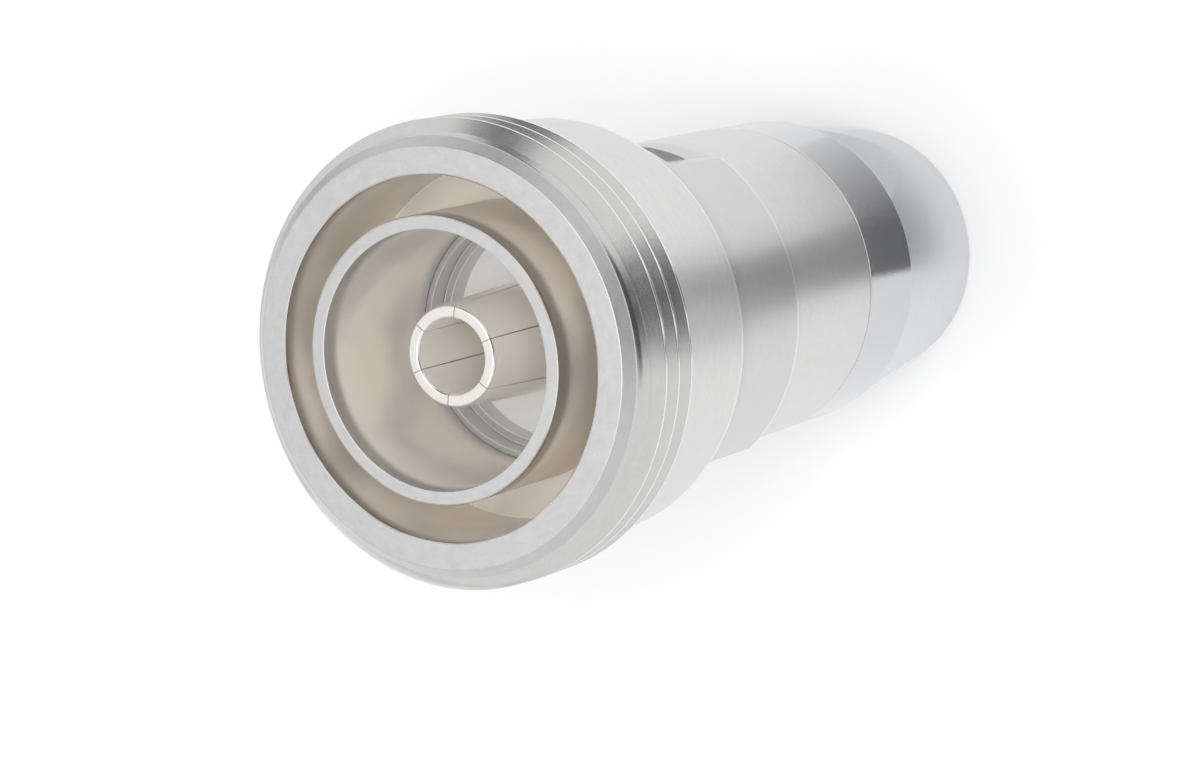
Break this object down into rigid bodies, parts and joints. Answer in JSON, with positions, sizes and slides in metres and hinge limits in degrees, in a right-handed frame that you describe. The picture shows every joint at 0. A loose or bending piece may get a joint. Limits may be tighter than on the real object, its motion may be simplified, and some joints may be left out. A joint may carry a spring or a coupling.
{
  "type": "coaxial cable connector",
  "caption": "Large silver-plated female coaxial connector with a threaded coupling ring, a slotted centre socket, wrench flats and a tapered back nut that screws in to clamp a corrugated cable.",
  "frame": {"origin": "centre of the nut's flat end face, where the connector stands", "axes": "+Z along the connector from the cable end to the mating end, +Y the way one of the body's wrench flats faces"},
  "size_m": [0.029, 0.029, 0.057],
  "materials": {
    "silver_plate": "silver plate on turned brass, satin",
    "nut_plate": "grey-white plate on turned brass, satin with a polished front band",
    "contact_plate": "warm silver plate on spring copper alloy, bright",
    "white_insulator": "white, smooth",
    "black_rubber": "black, matt"
  },
  "bodies": {
    "front": {"front_body": "silver_plate", "centre_contact": "contact_plate", "front_insulator": "white_insulator", "keeper_ring": "silver_plate", "rear_insulator": "white_insulator"},
    "clamp": {"spring_ring": "contact_plate", "pressure_ring": "silver_plate", "cable_gasket": "black_rubber"},
    "nut": {"back_nut": "nut_plate", "sealing_ring": "black_rubber"}
  },
  "joints": [
    {"name": "clamp_slide", "type": "slide", "parent": "front", "child": "clamp", "axis": [0, 0, -1], "range_m": [0, 0.006]},
    {"name": "nut_turn", "type": "hinge", "parent": "clamp", "child": "nut", "pos_m": [0, 0, 0.01], "axis": [0, 0, -1], "range_deg": [0, 2160]}
  ],
  "couplings": [
    {"joint": "clamp_slide", "follows": "nut_turn", "m_per_rad": 0.00015915}
  ]
}
